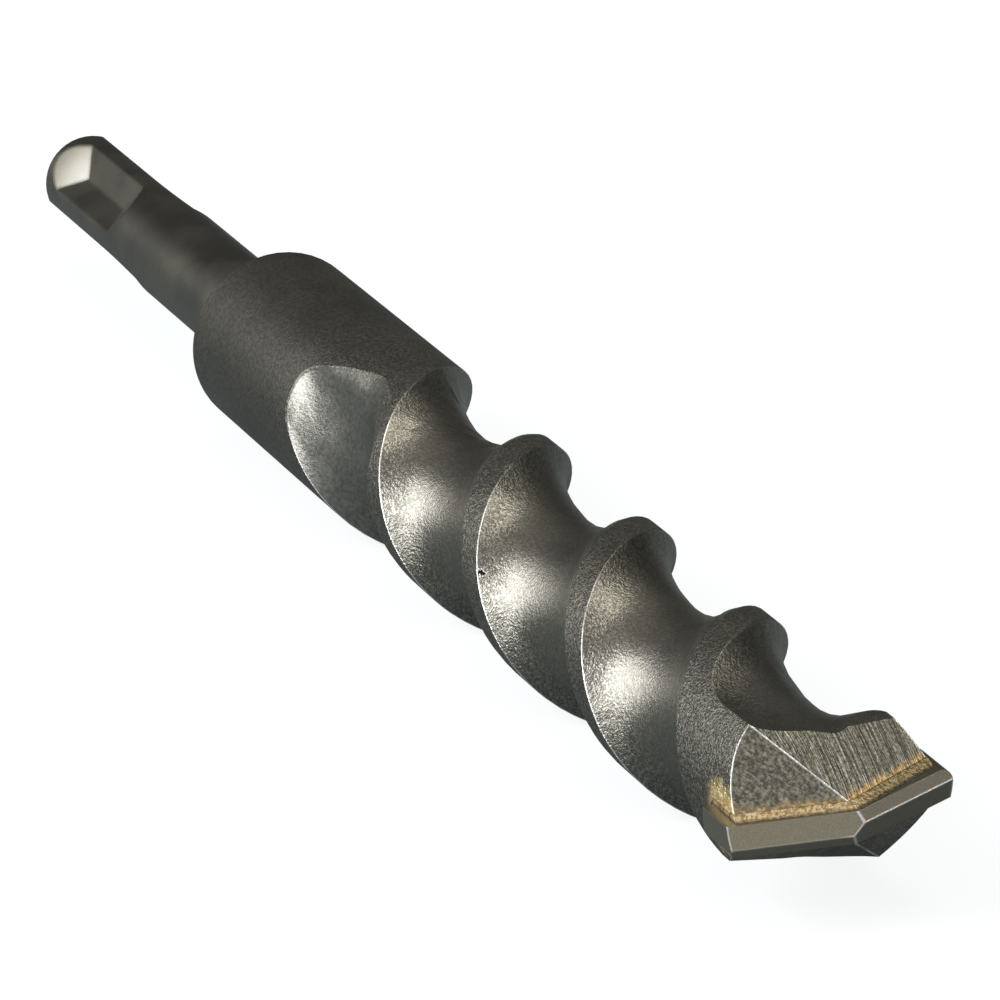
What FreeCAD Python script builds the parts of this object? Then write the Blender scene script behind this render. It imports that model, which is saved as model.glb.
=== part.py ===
import FreeCAD, Part
import os
from math import cos, pi, radians, sin, tan

# Hammer drill bit with an SDS plus shank, in millimetres. It lies along X: the shank's free end is at
# the origin, the tip points to +X, and +Z is up. Turns about X are in degrees from +Y towards +Z.

# Whole bit
overall_length = 200.0
shank_length = 61.0
body_diameter = 18.3

# Shank
shank_diameter = 10.0
shank_end_radius = 3.0
shank_root_radius = 1.6
collar_edge_radius = 0.4

# Two closed grooves for the chuck's locking balls, V-shaped with sloping ends
lock_turn = 136.5
lock_rear = 3.2
lock_front = 25.0
lock_floor_radius = 2.9
lock_side_slope = 18.7
lock_end_slope = 22.0

# Two driving slots, open at the shank's end and run out by the cutter
drive_turn = 46.5
drive_floor_radius = 3.3
drive_floor_width = 3.4
drive_wall_angle = 24.0
drive_full_depth_length = 20.0
drive_cutter_radius = 38.0

# Two right-hand flutes
lead = 49.14
core_radius = 5.55
land_width = 27.5
section_slant = 12.0
slant_run = 30.0
slant_ahead = 6.0
sections_per_turn = 8
flute_start = 86.4
flute_start_length = 15.0
flute_start_lift = 0.35
flute_start_width = 34.0
flute_start_overrun = 13.0
flute_start_section_count = 7

# One flute across its width, as the control points of a smooth curve: share of the width, from the soft
# shoulder to the sharp edge, and share of the full depth. Shares below nought lie outside the body.
flute_outline = [
    (-0.08, -0.107),
    (0.032, -0.021),
    (0.123, 0.345),
    (0.291, 1.041),
    (0.562, 0.95),
    (0.79, 0.737),
    (0.971, 0.276),
    (1.03, -0.248),
]

# Head, measured back from the tip: the sharp edges turn parallel to the axis, and the lands widen
head_edge_turn = 131.4
straight_edge_length = 18.6
edge_bend = 3.4
head_land_width = 91.0
widening_start = 20.5
widening_end = 8.6
head_section_count = 12

# Flats milled on the soft side of the lands at the head, square to the given turn
flat_turn = 87.9
flat_height = 5.6
flat_side = 1.0
flat_length = 14.0

# Ground faces of the head, as planes in the tip plate's own directions: distance of the face below the
# tip on the axis, slope along the plate and slope across it
heel_drop = -0.09
heel_slope_along = 0.38
heel_slope_across = 0.959
gash_drop = -1.48
gash_slope_along = 0.45
gash_slope_across = 1.707

# Carbide tip plate
plate_turn = 7.1
plate_width = 20.4
plate_thickness = 2.86
plate_length = 9.0
plate_corner_radius = 0.9
lip_angle = 19.4
lip_offset = 0.485
relief_angle = 21.3
rake_angle = 32.1

# Brass filler round the plate
braze_gap = 0.35
braze_lap = 0.15
braze_rise = 0.5
braze_proud = 0.12

# How far a cutting shape reaches past what it cuts
reach = 5.0

shank_radius = shank_diameter / 2
body_radius = body_diameter / 2
flute_depth = body_radius - core_radius
axis_direction = FreeCAD.Vector(1, 0, 0)
origin = FreeCAD.Vector(0, 0, 0)


def at_turn(x, radius, turn):
    """A point at a station, a radius and a turn about the axis."""
    a = radians(turn)
    return FreeCAD.Vector(x, radius * cos(a), radius * sin(a))


def turned(shape, turn):
    """A copy of a shape turned about the bit's axis."""
    copy = shape.copy()
    copy.rotate(origin, axis_direction, turn)
    return copy


def round_bar(radius, start, end):
    return Part.makeCylinder(radius, end - start, FreeCAD.Vector(start, 0, 0), axis_direction)


def prism(points, along):
    """A solid swept straight from a closed outline."""
    wire = Part.makePolygon(points + [points[0]])
    return Part.Face(wire).extrude(along)


# Shank and body
def blank():
    """The turned bar: shank with a rounded free end, a fillet at its root, and the body up to the tip."""
    r = shank_radius
    end = shank_end_radius
    root = shank_root_radius
    edge = collar_edge_radius
    arc_end = at_turn(end * (1 - cos(pi / 4)), r - end * (1 - sin(pi / 4)), 0)
    fillet_x = shank_length - root * (1 - sin(pi / 4))
    fillet_r = r + root * (1 - cos(pi / 4))
    edges = [
        Part.makeLine(origin, at_turn(0, r - end, 0)),
        Part.Arc(at_turn(0, r - end, 0), arc_end, at_turn(end, r, 0)).toShape(),
        Part.makeLine(at_turn(end, r, 0), at_turn(shank_length - root, r, 0)),
        Part.Arc(
            at_turn(shank_length - root, r, 0),
            at_turn(fillet_x, fillet_r, 0),
            at_turn(shank_length, r + root, 0),
        ).toShape(),
        Part.makeLine(at_turn(shank_length, r + root, 0), at_turn(shank_length, body_radius - edge, 0)),
        Part.Arc(
            at_turn(shank_length, body_radius - edge, 0),
            at_turn(shank_length + edge * (1 - cos(pi / 4)), body_radius - edge * (1 - sin(pi / 4)), 0),
            at_turn(shank_length + edge, body_radius, 0),
        ).toShape(),
        Part.makeLine(at_turn(shank_length + edge, body_radius, 0), at_turn(overall_length, body_radius, 0)),
        Part.makeLine(at_turn(overall_length, body_radius, 0), at_turn(overall_length, 0, 0)),
        Part.makeLine(at_turn(overall_length, 0, 0), origin),
    ]
    return Part.Face(Part.Wire(edges)).revolve(origin, axis_direction, 360)


def lock_groove():
    """A hipped trough: two sides meet in a line along its floor, and both ends slope up to the surface."""
    top = shank_radius + reach
    half = (top - lock_floor_radius) / tan(radians(lock_side_slope))
    end_run = (top - lock_floor_radius) / tan(radians(lock_end_slope))
    surface_run = (shank_radius - lock_floor_radius) / tan(radians(lock_end_slope))
    rear = lock_rear + surface_run
    front = lock_front - surface_run
    floor = [FreeCAD.Vector(rear, lock_floor_radius, 0), FreeCAD.Vector(front, lock_floor_radius, 0)]
    rim = [
        FreeCAD.Vector(rear - end_run, top, -half),
        FreeCAD.Vector(front + end_run, top, -half),
        FreeCAD.Vector(front + end_run, top, half),
        FreeCAD.Vector(rear - end_run, top, half),
    ]
    outlines = [
        [floor[0], floor[1], rim[1], rim[0]],
        [floor[1], floor[0], rim[3], rim[2]],
        [floor[0], rim[0], rim[3]],
        [floor[1], rim[2], rim[1]],
        rim,
    ]
    faces = [Part.Face(Part.makePolygon(o + [o[0]])) for o in outlines]
    trough = Part.Solid(Part.Shell(faces))
    return turned(trough, lock_turn)


def drive_slot():
    """A trapezoid slot cut straight in from the shank's end, then lifted out along the cutter's circle."""
    floor = drive_floor_radius
    top = shank_radius + reach
    half_floor = drive_floor_width / 2
    half_top = half_floor + (top - floor) * tan(radians(drive_wall_angle))
    section = [
        FreeCAD.Vector(-reach, floor, -half_floor),
        FreeCAD.Vector(-reach, top, -half_top),
        FreeCAD.Vector(-reach, top, half_top),
        FreeCAD.Vector(-reach, floor, half_floor),
    ]
    straight = prism(section, FreeCAD.Vector(drive_full_depth_length + reach, 0, 0))
    shift = FreeCAD.Vector(drive_full_depth_length + reach, 0, 0)
    end_face = Part.Face(Part.makePolygon([p + shift for p in section + [section[0]]]))
    cutter_centre = FreeCAD.Vector(drive_full_depth_length, floor + drive_cutter_radius, 0)
    run_out = end_face.revolve(cutter_centre, FreeCAD.Vector(0, 0, 1), 60)
    return turned(straight.fuse(run_out), drive_turn)


# Flutes
def eased(t):
    """A smooth rise from nought to one while t goes from nought to one."""
    t = min(1.0, max(0.0, t))
    return t * t * (3 - 2 * t)


def helix_turn(length):
    """Turn of the helix over a length along the axis."""
    return 360.0 * length / lead


def edge_turn_at(x):
    """Turn of the first sharp edge: a helix that bends parallel to the axis at the head."""
    past = x - (overall_length - straight_edge_length)
    if past <= -edge_bend:
        return head_edge_turn + helix_turn(past)
    if past >= edge_bend:
        return head_edge_turn
    return head_edge_turn - helix_turn((edge_bend - past) ** 2 / (4 * edge_bend))


def land_width_at(x):
    """Width of a land in degrees: constant along the body, wider at the head."""
    widened = eased((x - (overall_length - widening_start)) / (widening_start - widening_end))
    return land_width + (head_land_width - land_width) * widened


def flute_share(x):
    """How far the flute has opened at a station: nought where it starts, one where it is fully open."""
    return min(1.0, max(0.0, (x - flute_start) / flute_start_length))


def flute_point(x, across, radius=None, deep=0.0):
    """A point of the flute's outline at a station, at a share of the width and a radius or share of depth."""
    opened = flute_share(x)
    full_width = 180.0 - land_width_at(x)
    width = flute_start_width + (full_width - flute_start_width) * opened
    last = edge_turn_at(x) + flute_start_overrun * (1 - opened) ** 2
    if radius is None:
        surface = body_radius + flute_start_lift * (1 - opened) ** 2
        radius = surface - deep * flute_depth * sin(opened * pi / 2)
    return at_turn(x, radius, last - (1 - across) * width)


def flute_section(x, slant):
    """Closed outline of the metal that one flute takes away, slanted so as to cross the flute squarely."""

    def station(across):
        return x + slant * (0.5 - across)

    first_across = flute_outline[0][0]
    last_across = flute_outline[-1][0]
    points = [flute_point(station(across), across, deep=deep) for across, deep in flute_outline]
    floor = Part.BSplineCurve()
    floor.buildFromPoles(points, False, 3)
    lid_points = []
    for i in range(5):
        across = last_across + (first_across - last_across) * i / 4
        lid_points.append(flute_point(station(across), across, radius=body_radius + reach))
    lid = Part.BSplineCurve()
    lid.interpolate(lid_points)
    edges = [
        floor.toShape(),
        Part.makeLine(points[-1], lid_points[0]),
        lid.toShape(),
        Part.makeLine(lid_points[-1], points[0]),
    ]
    return Part.Wire(edges)


def spread(start, end, count):
    """Evenly spaced stations from the start up to, but without, the end."""
    return [start + (end - start) * i / count for i in range(count)]


def flute_void():
    """One flute as a lofted solid, from its shallow start to past the tip. Its two end sections are flat."""
    last = overall_length + section_slant
    fully_open = flute_start + flute_start_length
    head = overall_length - straight_edge_length - section_slant
    turns = (head - fully_open) / lead
    stations = spread(flute_start, fully_open, flute_start_section_count)
    stations += spread(fully_open, head, round(turns * sections_per_turn))
    stations += spread(head, last, head_section_count) + [last]
    sections = []
    for x in stations:
        slant = min(section_slant * eased((x - fully_open + slant_ahead) / slant_run), last - x)
        sections.append(flute_section(x, slant))
    return Part.makeLoft(sections, True, False)


# Head
def plate_point(height, along, across, turn=plate_turn):
    """A point given in the tip plate's own directions."""
    a = radians(turn)
    y = along * cos(a) - across * sin(a)
    z = along * sin(a) + across * cos(a)
    return FreeCAD.Vector(height, y, z)


def above_plane(height, slope_along, slope_across):
    """All that lies tipwards of a plane: height at the axis, and its rise along and across the plate."""
    span = 3 * body_radius
    corners = []
    for along, across in ((-span, -span), (span, -span), (span, span), (-span, span)):
        corners.append(plate_point(height + slope_along * along + slope_across * across, along, across))
    return prism(corners, FreeCAD.Vector(4 * span, 0, 0))


def ground_faces(steeper=0.0):
    """Four planes over the steel head: a heel and a gash on each side of the plate.

    Steeper planes pass through the same faces where the braze ends, and rise towards the plate.
    """
    lift = steeper * (plate_thickness / 2 + braze_gap + braze_lap)
    heel_height = overall_length - heel_drop + lift
    gash_height = overall_length - gash_drop + lift
    heel = above_plane(heel_height, heel_slope_along, -heel_slope_across - steeper)
    gash = above_plane(gash_height, -gash_slope_along, -gash_slope_across - steeper)
    return [heel, turned(heel, 180), gash, turned(gash, 180)]


def head_flat():
    """The metal above the flat on one land, clear of the sharp edge."""
    high = body_radius + reach
    corner = FreeCAD.Vector(overall_length - flat_length, flat_side, flat_height)
    block = Part.makeBox(flat_length + reach, high - flat_side, high - flat_height, corner)
    return turned(block, flat_turn - 90)


def lip_height():
    """Height at which the two cutting lips would meet on the axis, so that the chisel edge is the tip."""
    return overall_length + lip_offset * tan(radians(relief_angle))


def plate_faces():
    """The four planes ground on the plate: relief behind each lip and a rake face before it."""
    lip = tan(radians(lip_angle))
    relief = tan(radians(relief_angle))
    rake = tan(radians(rake_angle))
    behind = above_plane(lip_height() - relief * lip_offset, lip, -relief)
    before = above_plane(lip_height() + rake * lip_offset, lip, rake)
    return [behind, turned(behind, 180), before, turned(before, 180)]


def plate_stock(side_gap, end_gap, height):
    """Upright block in the plate's directions, wider than the plate by a gap on each side and below."""
    half_long = plate_width / 2 + end_gap
    half_thick = plate_thickness / 2 + side_gap
    foot = overall_length - plate_length - side_gap
    corners = [
        plate_point(foot, -half_long, -half_thick),
        plate_point(foot, half_long, -half_thick),
        plate_point(foot, half_long, half_thick),
        plate_point(foot, -half_long, half_thick),
    ]
    return prism(corners, FreeCAD.Vector(height, 0, 0))


def tip_plate_blank():
    """The plate before its top is ground: round ends, with the leading corners eased."""
    block = plate_stock(0.0, 0.0, plate_length + reach)
    leading = []
    for edge in block.Edges:
        middle = edge.CenterOfMass
        a = radians(plate_turn)
        along = middle.y * cos(a) + middle.z * sin(a)
        across = middle.z * cos(a) - middle.y * sin(a)
        upright = abs(edge.tangentAt(edge.FirstParameter).x) > 0.99
        if upright and along * across > 0:
            leading.append(edge)
    block = block.makeFillet(plate_corner_radius, leading)
    return block.common(round_bar(plate_width / 2, 0, overall_length + 2 * reach))


def tip_plate():
    plate = tip_plate_blank()
    for face in plate_faces():
        plate = plate.cut(face)
    return plate


def drill_body():
    """Shank, collar, flutes and ground head: one piece of steel with a slot for the plate."""
    cuts = ground_faces() + [plate_stock(braze_gap, reach, plate_length + 2 * reach)]
    for tool in (flute_void(), head_flat(), lock_groove(), drive_slot()):
        cuts += [tool, turned(tool, 180)]
    return blank().cut(cuts)


def braze(body):
    """Filler between slot and plate, with a small fillet from the head's faces up the plate's sides."""
    filler = plate_stock(braze_gap + braze_lap, reach, plate_length + 2 * reach)
    filler = filler.common(round_bar(body_radius + braze_proud, 0, overall_length))
    for face in ground_faces(braze_rise / (braze_gap + braze_lap)):
        filler = filler.cut(face)
    return filler.cut(body).cut(tip_plate_blank())


def write(name, shape):
    solids = shape.Solids
    whole = solids[0] if len(solids) == 1 else Part.makeCompound(solids)
    whole.exportStep("parts/" + name + ".step")
    box = whole.BoundBox
    print(name, len(solids), whole.isValid(), round(whole.Volume, 2), len(whole.Faces))
    print("   ", [round(v, 2) for v in (box.XMin, box.YMin, box.ZMin, box.XMax, box.YMax, box.ZMax)])


os.makedirs("parts", exist_ok=True)
steel = drill_body()
write("drill_body", steel)
write("carbide_tip", tip_plate())
write("braze_filler", braze(steel))
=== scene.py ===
import math

import bpy
from mathutils import Matrix, Vector

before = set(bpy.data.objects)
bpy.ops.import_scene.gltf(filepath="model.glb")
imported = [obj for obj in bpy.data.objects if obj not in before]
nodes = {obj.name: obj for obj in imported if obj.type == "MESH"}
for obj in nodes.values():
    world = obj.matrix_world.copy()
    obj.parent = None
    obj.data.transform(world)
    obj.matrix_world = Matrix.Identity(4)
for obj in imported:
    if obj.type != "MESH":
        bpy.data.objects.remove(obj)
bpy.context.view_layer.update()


def tone(level, warm=0.0):
    """Linear grey with a small warm cast."""
    return (level * (1 + 0.7 * warm), level, level * (1 - 3 * warm), 1.0)


WHITE = (1.0, 1.0, 1.0, 1.0)

# The materials work in millimetres: x from the shank's free end, and radii from the axis
MILLIMETRES = (1000.0, 1000.0, 1000.0)
BODY_RADIUS = 9.15
PLATE_RADIUS = 10.2
PLATE_TURN = math.radians(7.1)

# Stations along the axis where one look passes into the next
SHANK_TO_COLLAR = (60.8, 61.0)
GRAIN_GROWS = (61.0, 112.0)
COLLAR_TO_LANDS = (78.0, 96.0)
EDGES_START = (85.0, 90.0)
SCOOP_TO_FLUTES = (96.0, 104.0)
LANDS_TO_HEAD = (150.0, 188.0)
STAIN_STARTS = (189.0, 191.0)

# Planes ground on the tip: height on the axis, slope along the plate and slope across it
GASH = (201.48, -0.45, -1.707)
HEEL = (200.09, 0.38, -0.959)
RELIEFS = [(200.0, 0.352, -0.390), (200.0, -0.352, 0.390)]
RAKES = [(200.493, 0.352, 0.627), (200.493, -0.352, -0.627)]

# Distances from a plane within which the surface lies on it, and near the ridge where two meet
ON_FACE = (0.05, 0.12)
NEAR_RIDGE = (0.07, 0.16)
NEAR_LIP = (0.05, 0.14)
ON_RELIEF = (0.12, 0.20)

# Centre of the wheel's arcs on the gash, along and across the plate
ARC_CENTRE = (-9.6, 5.4)

# Lower ends of the lock grooves' sloping rear faces
SLOPE_FEET = [(9.0, -2.1, 2.0), (9.0, 2.1, -2.0)]

# Small knocks: place, radius of the dent and radius of its lifted rim
KNOCKS = [
    ((137.1, -8.5, 2.4), 0.28, 0.5),
    ((128.6, -2.5, 8.8), 0.2, 0.3),
    ((131.8, -5.8, 7.1), 0.2, 0.3),
    ((149.3, -8.6, 3.1), 0.2, 0.3),
]

# Dark and pale end of each surface's grain
LAND = (tone(0.09, 0.03), tone(0.20, 0.05))
LAND_AT_HEAD = (tone(0.08, 0.03), tone(0.205, 0.05))
COLLAR = (tone(0.090, 0.04), tone(0.137, 0.04))
FLUTE = (tone(0.185, 0.04), tone(0.255, 0.04))
SCOOP = (tone(0.20, 0.03), tone(0.31, 0.03))
SHOULDER = (tone(0.11, 0.03), tone(0.32, 0.04))
SHANK = (tone(0.15, 0.03), tone(0.185, 0.05))
ABRADED = (tone(0.10, 0.05), tone(0.38, 0.04))
BRASS_FILM = ((0.34, 0.23, 0.10, 1.0), (0.70, 0.50, 0.25, 1.0))
BRASS_STAIN = ((0.80, 0.58, 0.24, 1.0), (1.0, 0.86, 0.52, 1.0))
BRAZE = ((0.26, 0.19, 0.10, 1.0), (0.62, 0.50, 0.31, 1.0))
CARBIDE = ((0.255, 0.240, 0.192, 1.0), (0.32, 0.300, 0.240, 1.0))

# Single colours laid over the grain
# Painted shade and a painted highlight on the lock grooves' sloping rear ends
SLOPE_SHADE = tone(0.085, 0.08)
SLOPE_HIGHLIGHT = tone(0.26, 0.02)
# Sharp steel edges lightened, partly as wear and partly as a painted highlight
WORN_STEEL_AND_HIGHLIGHT = tone(0.85)
# Carbide lips and corners lightened, partly as wear and partly as a painted highlight
WORN_CARBIDE_AND_HIGHLIGHT = tone(0.8)
LIFTED_METAL = tone(0.6)
# Painted shade in the knocks' dents
DENT_SHADE = tone(0.02)
OUTER_BRAZE = tone(0.09, 0.2)
# Dark joint line along the plate, partly painted shade
PLATE_JOINT_SHADE = tone(0.05, 0.1)

# Colours of the floor and of the room's light
PALE_FLOOR = (0.17, 0.20, 0.21, 1.0)
ROOM_LIGHT = (1.0, 0.975, 0.90, 1.0)

# Radii in metres by which the shading rounds the edges
BODY_EDGE = 0.00012
SHANK_EDGE = 0.0007
CARBIDE_EDGE = 0.00014
BRAZE_EDGE = 0.00008

# Lamps: azimuth and elevation in degrees, width and height in metres, radiance of the face, colour
LAMPS = [
    ("key", -106, 31, 0.60, 0.44, 6.6, (1.0, 1.0, 1.0)),
    ("top", 95, 76, 0.34, 0.30, 3.8, (1.0, 0.94, 0.82)),
    ("side", 60, 9, 0.24, 0.14, 5.0, (1.0, 1.0, 1.0)),
]
LAMP_DISTANCE = 0.7
LAMP_AIM = Vector((0.13, 0, 0))


class Graph:
    """A node tree with short ways to add and join nodes."""

    def __init__(self, tree):
        self.tree = tree

    def feed(self, socket, value):
        """Link a socket to another node's value, or set it to a plain one."""
        if isinstance(value, bpy.types.NodeSocket):
            self.tree.links.new(value, socket)
        else:
            socket.default_value = value

    def add(self, kind, **inputs):
        """A new node, its inputs given by name with _ for each space."""
        node = self.tree.nodes.new(kind)
        for name, value in inputs.items():
            self.feed(node.inputs[name.replace("_", " ")], value)
        return node

    def operate(self, kind, operation, values):
        node = self.tree.nodes.new(kind)
        node.operation = operation
        for socket, value in zip(node.inputs, values):
            self.feed(socket, value)
        return node

    def math(self, operation, *values):
        return self.operate("ShaderNodeMath", operation, values).outputs[0]

    def vector_math(self, operation, *values):
        """The vector that an operation gives, or the number for a distance or a length."""
        node = self.operate("ShaderNodeVectorMath", operation, values)
        return node.outputs["Value" if operation in ("DISTANCE", "LENGTH") else "Vector"]

    def gather(self, operation, first, rest):
        for value in rest:
            first = self.math(operation, first, value)
        return first

    def plus(self, first, *rest):
        return self.gather("ADD", first, rest)

    def minus(self, first, second):
        return self.math("SUBTRACT", first, second)

    def times(self, first, *rest):
        return self.gather("MULTIPLY", first, rest)

    def most(self, first, *rest):
        return self.gather("MAXIMUM", first, rest)

    def least(self, first, *rest):
        return self.gather("MINIMUM", first, rest)

    def weighted(self, *terms):
        """Sum of values, each given with its weight."""
        return self.plus(*[self.times(value, weight) for value, weight in terms])

    def length(self, a, b):
        return self.math("SQRT", self.plus(self.times(a, a), self.times(b, b)))

    def span(self, value, low, high, to_low, to_high):
        """Value mapped smoothly from low..high to to_low..to_high, and held beyond."""
        node = self.tree.nodes.new("ShaderNodeMapRange")
        node.interpolation_type = "SMOOTHSTEP"
        node.clamp = True
        for socket, number in zip(node.inputs, (value, low, high, to_low, to_high)):
            self.feed(socket, number)
        return node.outputs[0]

    def rise(self, value, low, high):
        """Nought under the low limit, one past the high limit."""
        return self.span(value, low, high, 0.0, 1.0)

    def fall(self, value, low, high):
        """One under the low limit, nought past the high limit."""
        return self.span(value, low, high, 1.0, 0.0)

    def choose(self, data_type, sockets, values):
        node = self.tree.nodes.new("ShaderNodeMix")
        node.data_type = data_type
        for index, value in zip(sockets, values):
            self.feed(node.inputs[index], value)
        return node

    def mix(self, factor, a, b):
        """Colour that goes from a to b with the factor."""
        return self.choose("RGBA", (0, 6, 7), (factor, a, b)).outputs[2]

    def blend(self, factor, a, b):
        """Number that goes from a to b with the factor."""
        return self.choose("FLOAT", (0, 2, 3), (factor, a, b)).outputs[0]

    def noise(self, vector, scale, detail=2.0, rough=0.5):
        node = self.add("ShaderNodeTexNoise", Vector=vector, Scale=scale, Detail=detail, Roughness=rough)
        return node.outputs["Fac"]

    def parts(self, vector):
        node = self.add("ShaderNodeSeparateXYZ", Vector=vector)
        return node.outputs[0], node.outputs[1], node.outputs[2]

    def joined(self, x, y, z):
        return self.add("ShaderNodeCombineXYZ", X=x, Y=y, Z=z).outputs[0]


class MaterialGraph(Graph):
    """The node tree of a new material, empty but for its output."""

    def __init__(self, name):
        self.material = bpy.data.materials.new(name)
        self.material.use_nodes = True
        super().__init__(self.material.node_tree)
        self.tree.nodes.clear()
        self.out = self.add("ShaderNodeOutputMaterial")

    def finish(self, shader):
        self.feed(self.out.inputs["Surface"], shader.outputs[0])
        return self.material


class Surface(MaterialGraph):
    """A material that knows its place on the bit.

    at, x, y, z and radius are in millimetres. outward and tipward are the parts of the normal that point away
    from the axis and to the tip. along and across follow the plate's directions, the same on both halves.
    """

    def __init__(self, name):
        super().__init__(name)
        coordinate = self.add("ShaderNodeTexCoord")
        self.at = self.vector_math("MULTIPLY", coordinate.outputs["Object"], MILLIMETRES)
        self.x, self.y, self.z = self.parts(self.at)
        self.radius = self.length(self.y, self.z)
        self.tipward, normal_y, normal_z = self.parts(coordinate.outputs["Normal"])
        outward = self.plus(self.times(self.y, normal_y), self.times(self.z, normal_z))
        self.outward = self.math("DIVIDE", outward, self.radius)
        along = self.weighted((self.y, math.cos(PLATE_TURN)), (self.z, math.sin(PLATE_TURN)))
        across = self.weighted((self.z, math.cos(PLATE_TURN)), (self.y, -math.sin(PLATE_TURN)))
        self.along = self.times(along, self.math("SIGN", across))
        self.across = self.math("ABSOLUTE", across)

    def under_plane(self, height, slope_along, slope_across):
        """How far the surface lies under a plane ground on the tip, measured along the axis."""
        plane = self.weighted((self.along, slope_along), (self.across, slope_across))
        return self.minus(self.plus(plane, height), self.x)

    def close_to(self, distance, inner, outer):
        """One where a distance of either sign is under the inner limit, nought past the outer one."""
        return self.fall(self.math("ABSOLUTE", distance), inner, outer)

    def distance(self, point):
        return self.vector_math("DISTANCE", self.at, point)

    def spot(self, point, size, ragged):
        """One at a point, nought past its size, with a ragged border."""
        return self.fall(self.plus(self.distance(point), ragged), 0.7 * size, size)

    def shade(self, colour, roughness, height, edge):
        """Metal with a bump in millimetres and edges rounded by a radius in metres."""
        bevel = self.add("ShaderNodeBevel", Radius=edge)
        bevel.samples = 6
        bump = self.add("ShaderNodeBump", Strength=1.0, Distance=0.001, Height=height)
        self.feed(bump.inputs["Normal"], bevel.outputs[0])
        shader = self.add("ShaderNodeBsdfPrincipled", Metallic=1.0, Base_Color=colour, Roughness=roughness)
        self.feed(shader.inputs["Normal"], bump.outputs[0])
        return self.finish(shader)


class Steel(Surface):
    """Grainy lands and collar, satin flutes and shank, ground head faces, and bright edges that are partly
    wear and partly a painted highlight.
    """

    def __init__(self):
        super().__init__("blasted_steel")
        self.coarse = self.noise(self.at, scale=2.5, rough=0.55)
        self.fine = self.noise(self.at, scale=5.0, rough=0.6)
        self.patches = self.noise(self.at, scale=0.16)
        self.grain = self.rise(self.coarse, 0.3, 0.7)
        self.speck = self.rise(self.weighted((self.coarse, 0.4), (self.fine, 0.6)), 0.42, 0.63)

        # Masks, each one on its own place and nought elsewhere
        at_outside = self.rise(self.radius, BODY_RADIUS - 0.17, BODY_RADIUS - 0.07)
        self.outer = self.times(at_outside, self.rise(self.outward, 0.8, 0.93))
        self.shank = self.fall(self.x, *SHANK_TO_COLLAR)
        self.under_gash = self.under_plane(*GASH)
        self.under_heel = self.under_plane(*HEEL)
        self.gash = self.close_to(self.under_gash, *ON_FACE)
        self.heel = self.close_to(self.under_heel, *ON_FACE)
        self.ground = self.most(self.gash, self.heel)
        shoulder = self.times(self.rise(self.radius, 6.0, 8.8), self.rise(self.outward, 0.35, 0.85))
        self.shoulder = self.times(shoulder, self.rise(self.x, *SCOOP_TO_FLUTES))
        self.stain = self.stain_mask()
        self.dents, self.lifted = self.knock_masks()

        # Arcs left by the grinding wheel on the gash, short streaks beside the ridge on the heel
        right_of_centre = self.minus(self.along, ARC_CENTRE[0])
        above_centre = self.minus(self.across, ARC_CENTRE[1])
        swing = self.math("ARCTAN2", above_centre, right_of_centre)
        self.arcs = self.drawn_out(self.length(right_of_centre, above_centre), swing, 4.8, 3.6)
        streak_across = self.weighted((self.along, 0.62), (self.across, 0.78))
        streak_along = self.weighted((self.along, 0.7), (self.across, -0.56))
        self.streaks = self.drawn_out(streak_across, streak_along, 4.2, 1.4)

    def drawn_out(self, across, along, closeness, shortness):
        """Noise drawn out into lines, close together across them and long along them."""
        vector = self.joined(self.times(across, closeness), self.times(along, shortness), 0.0)
        return self.noise(vector, scale=1.0, rough=0.6)

    def stain_mask(self):
        """Brass that ran out over the lands at the ends of the slot."""
        run_out = self.minus(self.across, self.times(self.noise(self.at, scale=0.9, detail=3.0), 2.6))
        stain = self.times(self.fall(run_out, 1.3, 2.5), self.rise(self.radius, 9.0, 9.1))
        return self.times(stain, self.rise(self.x, *STAIN_STARTS))

    def film_mask(self):
        """Thin brass on the ground faces beside the plate."""
        run_out = self.minus(self.across, self.noise(self.at, scale=1.4, detail=3.0))
        return self.times(self.span(run_out, 1.3, 2.0, 0.85, 0.0), self.ground)

    def knock_masks(self):
        """The dents on the sharp edges, and the metal that they lifted."""
        ragged = self.times(self.minus(self.coarse, 0.5), 1.6)
        dents = [self.spot(point, dent, ragged) for point, dent, rim in KNOCKS]
        lifted = [self.spot(point, rim, ragged) for point, dent, rim in KNOCKS]
        return self.most(*dents), self.most(*lifted)

    def worn_and_highlight_mask(self):
        """Partly wear and partly a painted highlight: the flutes' sharp edges, fading towards the upper side
        as painted light, and the ridge between the ground faces.
        """
        at_edge = self.rise(self.radius, BODY_RADIUS - 0.12, BODY_RADIUS - 0.06)
        edge = self.times(at_edge, self.fall(self.outward, 0.6, 0.8), self.rise(self.x, *EDGES_START))
        # Painted light: the bright edges fade towards the top
        edge = self.times(edge, self.span(self.z, 5.5, 8.0, 1.0, 0.15))
        ridge = self.times(self.close_to(self.under_gash, *NEAR_RIDGE), self.heel)
        cloud = self.noise(self.at, scale=0.5)
        return self.times(self.most(edge, ridge), self.span(cloud, 0.3, 0.5, 0.35, 1.0))

    def land_colour(self):
        near_head = self.rise(self.x, *LANDS_TO_HEAD)
        land = self.mix(near_head, self.mix(self.speck, *LAND), self.mix(self.speck, *LAND_AT_HEAD))
        return self.mix(self.rise(self.x, *COLLAR_TO_LANDS), self.mix(self.grain, *COLLAR), land)

    def flute_colour(self):
        in_scoop = self.fall(self.x, *SCOOP_TO_FLUTES)
        flute = self.mix(in_scoop, self.mix(self.speck, *FLUTE), self.mix(self.grain, *SCOOP))
        return self.mix(self.times(self.shoulder, 0.85), flute, self.mix(self.speck, *SHOULDER))

    def shank_colour(self):
        patchy = self.weighted((self.patches, 0.7), (self.coarse, 0.3))
        return self.mix(self.rise(patchy, 0.38, 0.62), *SHANK)

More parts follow.
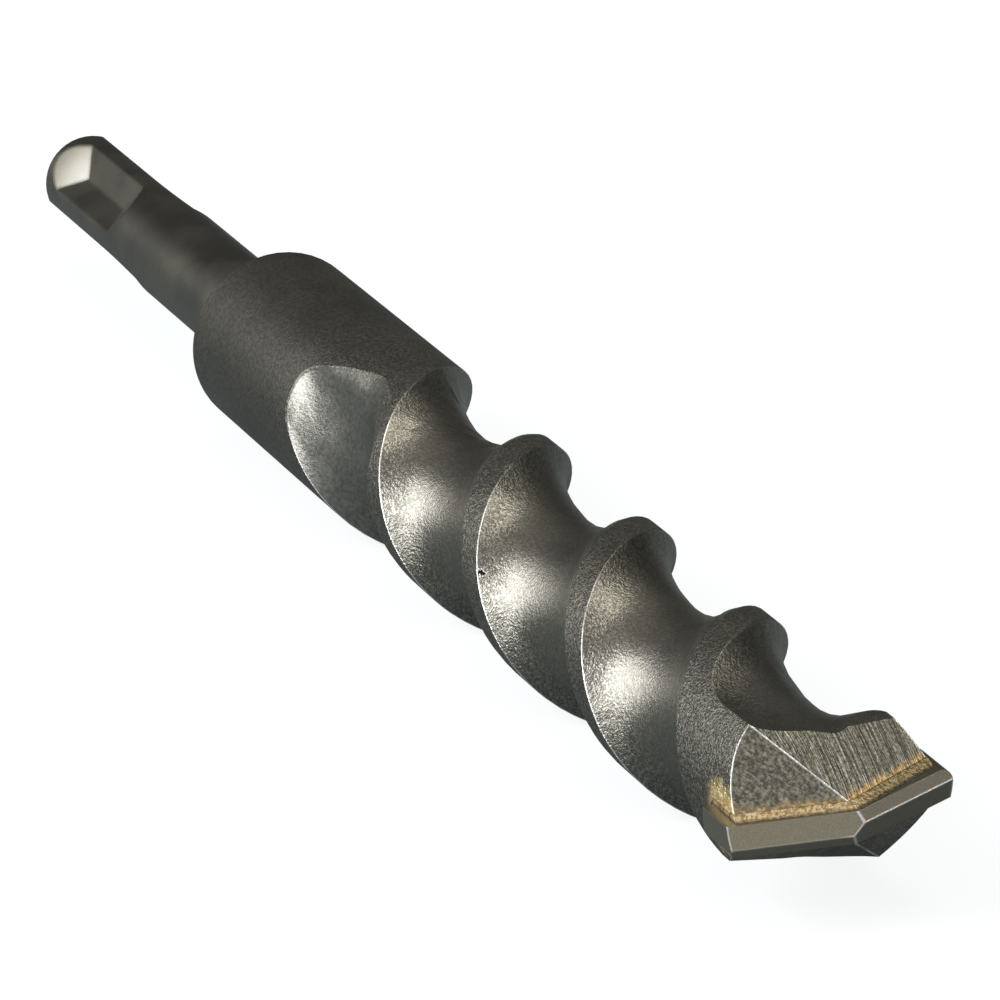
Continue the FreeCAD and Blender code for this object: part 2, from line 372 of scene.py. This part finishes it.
    def paint_slope_light(self, colour):
        """The lock grooves' sloping rear ends: a painted highlight towards their lower ends and painted shade
        towards their upper ends.
        """
        slope = self.times(self.rise(self.tipward, 0.15, 0.25), self.fall(self.x, 9.3, 9.6))
        from_foot = self.least(*[self.distance(foot) for foot in SLOPE_FEET])
        colour = self.mix(self.times(slope, self.rise(from_foot, 3.0, 6.5)), colour, SLOPE_SHADE)
        return self.mix(self.times(slope, self.fall(from_foot, 0.5, 4.5)), colour, SLOPE_HIGHLIGHT)

    def ground_colour(self):
        lines = self.blend(self.gash, self.streaks, self.arcs)
        grit = self.noise(self.at, scale=3.0, detail=4.0, rough=0.7)
        sand = self.blend(self.span(self.gash, 0.0, 1.0, 0.25, 0.45), grit, lines)
        return self.mix(self.rise(sand, 0.40, 0.68), *ABRADED)

    def colour(self):
        colour = self.mix(self.outer, self.flute_colour(), self.land_colour())
        colour = self.mix(self.shank, colour, self.shank_colour())
        # Painted light on the lock grooves' sloping rear ends
        colour = self.paint_slope_light(colour)
        colour = self.mix(self.ground, colour, self.ground_colour())
        flecks = self.rise(self.coarse, 0.4, 0.6)
        colour = self.mix(self.film_mask(), colour, self.mix(flecks, *BRASS_FILM))
        colour = self.mix(self.stain, colour, self.mix(flecks, *BRASS_STAIN))
        # Sharp edges lightened: partly wear, partly a painted highlight
        colour = self.mix(self.worn_and_highlight_mask(), colour, WORN_STEEL_AND_HIGHLIGHT)
        colour = self.mix(self.lifted, colour, LIFTED_METAL)
        # Painted shade in the dents
        return self.mix(self.dents, colour, DENT_SHADE)

    def roughness(self):
        rough = self.blend(self.outer, 0.34, 0.46)
        rough = self.blend(self.shank, rough, 0.36)
        rough = self.blend(self.ground, rough, 0.42)
        return self.plus(rough, self.span(self.patches, 0.3, 0.7, -0.03, 0.03))

    def height(self):
        """Bump in millimetres."""
        blasted = self.most(self.outer, self.times(self.shoulder, 0.7))
        height = self.times(self.coarse, self.blend(blasted, 0.020, 0.08))
        height = self.plus(height, self.times(self.fine, self.blend(blasted, 0.017, 0.050)))
        height = self.times(height, self.span(self.x, *GRAIN_GROWS, 0.3, 1.0))
        height = self.blend(self.stain, height, self.times(self.coarse, 0.16))
        arcs = self.times(self.arcs, self.times(self.gash, 0.08))
        streaks = self.times(self.streaks, self.times(self.heel, 0.07))
        ground_height = self.plus(arcs, streaks, self.times(self.coarse, 0.05))
        height = self.blend(self.ground, height, ground_height)
        return self.minus(height, self.times(self.dents, 0.12))


def steel():
    s = Steel()
    edge = s.blend(s.shank, BODY_EDGE, SHANK_EDGE)
    return s.shade(s.colour(), s.roughness(), s.height(), edge)


def carbide():
    """Satin ground faces; the lips and outer corners are lightened, partly as wear and partly as a painted
    highlight, the lips less on the far half as painted light.
    """
    s = Surface("ground_carbide")
    grain = s.noise(s.at, scale=6.0, detail=3.0, rough=0.6)
    reliefs = [s.under_plane(*plane) for plane in RELIEFS]
    rakes = [s.under_plane(*plane) for plane in RAKES]

    # A lip is where two of the four planes meet, so the second nearest of them is near there too
    near_relief = s.least(*reliefs)
    near_rake = s.least(*rakes)
    farther = s.least(s.most(*reliefs), s.most(*rakes))
    second_nearest = s.least(s.most(near_relief, near_rake), farther)
    # Painted light: the lips' lightening is weaker on the far half
    lip = s.times(s.fall(second_nearest, *NEAR_LIP), s.span(s.y, -1.5, -0.5, 0.25, 1.0))
    at_end = s.rise(s.radius, PLATE_RADIUS - 0.18, PLATE_RADIUS - 0.08)
    corner = s.times(at_end, s.fall(s.outward, 0.6, 0.8))
    # Lips and corners lightened: partly wear, partly a painted highlight
    worn_and_highlight = s.times(s.most(lip, corner), s.fall(near_relief, *ON_RELIEF))
    worn_and_highlight = s.times(worn_and_highlight, s.span(grain, 0.3, 0.5, 0.6, 1.0))
    colour = s.mix(s.rise(grain, 0.3, 0.7), *CARBIDE)
    roughness = s.blend(grain, 0.28, 0.36)
    return s.shade(s.mix(worn_and_highlight, colour, WORN_CARBIDE_AND_HIGHLIGHT), roughness, s.times(grain, 0.01), CARBIDE_EDGE)


def braze():
    """Lumpy brass, darker towards one end, with a dark joint line along the plate that is partly painted
    shade.
    """
    s = Surface("braze_metal")
    lumps = s.noise(s.at, scale=1.5, detail=3.0, rough=0.6)
    grain = s.noise(s.at, scale=3.0, rough=0.6)
    colour = s.mix(s.rise(grain, 0.35, 0.65), *BRAZE)
    colour = s.mix(s.span(s.along, 0.0, 4.0, 0.0, 0.45), colour, OUTER_BRAZE)
    # Painted shade along the joint with the plate, deeper towards one end
    line = s.times(s.fall(s.across, 1.50, 1.62), s.span(s.along, -2.0, 2.0, 0.6, 0.85))
    colour = s.mix(line, colour, PLATE_JOINT_SHADE)
    height = s.plus(s.times(lumps, 0.15), s.times(grain, 0.05))
    return s.shade(colour, s.blend(lumps, 0.4, 0.55), height, BRAZE_EDGE)


def dress(piece, material):
    piece.data.materials.clear()
    piece.data.materials.append(material)


def floor():
    """White to the camera and dark in reflections, and it keeps the bit's shadow."""
    bpy.ops.mesh.primitive_plane_add(size=6, location=(0.1, 0, -BODY_RADIUS / 1000))
    plane = bpy.context.object
    plane.name = "floor"
    g = MaterialGraph("pale_floor")
    path = g.add("ShaderNodeLightPath").outputs
    seen = g.most(path["Is Camera Ray"], path["Is Transmission Ray"])
    away = g.vector_math("LENGTH", g.add("ShaderNodeTexCoord").outputs["Object"])
    white = g.span(away, 0.25, 0.9, 0.86, 1.0)
    strength = g.plus(g.times(seen, white), g.times(path["Is Glossy Ray"], 0.04))
    diffuse = g.add("ShaderNodeBsdfDiffuse", Color=PALE_FLOOR)
    glow = g.add("ShaderNodeEmission", Color=WHITE, Strength=strength)
    both = g.add("ShaderNodeAddShader")
    g.feed(both.inputs[0], diffuse.outputs[0])
    g.feed(both.inputs[1], glow.outputs[0])
    dress(plane, g.finish(both))


def lamp(name, azimuth, elevation, width, height, radiance, colour):
    """A rectangular soft lamp that faces the bit."""
    a = math.radians(azimuth)
    e = math.radians(elevation)
    toward = Vector((math.cos(e) * math.cos(a), math.cos(e) * math.sin(a), math.sin(e)))
    data = bpy.data.lights.new(name, "AREA")
    data.shape = "RECTANGLE"
    data.size = width
    data.size_y = height
    data.energy = radiance * math.pi * width * height
    data.color = colour
    lamp_object = bpy.data.objects.new(name, data)
    lamp_object.location = LAMP_AIM + toward * LAMP_DISTANCE
    lamp_object.rotation_euler = toward.to_track_quat("Z", "Y").to_euler()
    bpy.context.collection.objects.link(lamp_object)


def room():
    """Soft light: fairly dark at the sides, paler in front, above and low behind, white to the camera."""
    world = bpy.data.worlds.new("studio")
    bpy.context.scene.world = world
    world.use_nodes = True
    g = Graph(world.node_tree)
    background = world.node_tree.nodes["Background"]
    way_x, way_y, way_z = g.parts(g.add("ShaderNodeTexCoord").outputs["Generated"])
    front = g.span(way_x, 0.1, 0.95, 0.0, 0.72)
    above = g.span(way_z, 0.5, 0.95, 0.0, 0.4)
    behind = g.weighted((way_x, -0.906), (way_y, -0.423))
    low = g.span(behind, 0.88, 1.0, 0.0, 0.32)
    strength = g.plus(g.plus(front, low), g.plus(above, 0.075))
    seen = g.add("ShaderNodeLightPath").outputs["Is Camera Ray"]
    g.feed(background.inputs["Color"], g.mix(seen, ROOM_LIGHT, WHITE))
    g.feed(background.inputs["Strength"], g.most(strength, seen))


def camera():
    """A long lens, given by its place and its own three directions."""
    data = bpy.data.cameras.new("camera")
    data.sensor_width = 36.0
    data.lens = 250.859
    data.clip_start = 0.01
    right = Vector((0.37198, 0.92824, 0.0))
    up = Vector((-0.31049, 0.12442, 0.94240))
    back = Vector((0.87477, -0.35056, 0.33449))
    turn = Matrix((right, up, back)).transposed().to_4x4()
    camera_object = bpy.data.objects.new("camera", data)
    camera_object.matrix_world = Matrix.Translation((0.68197, -0.22504, 0.21728)) @ turn
    bpy.context.collection.objects.link(camera_object)
    bpy.context.scene.camera = camera_object


dress(nodes["drill_body"], steel())
dress(nodes["carbide_tip"], carbide())
dress(nodes["braze_filler"], braze())
floor()
for settings in LAMPS:
    lamp(*settings)
room()
camera()
bpy.context.scene.view_settings.view_transform = "Standard"
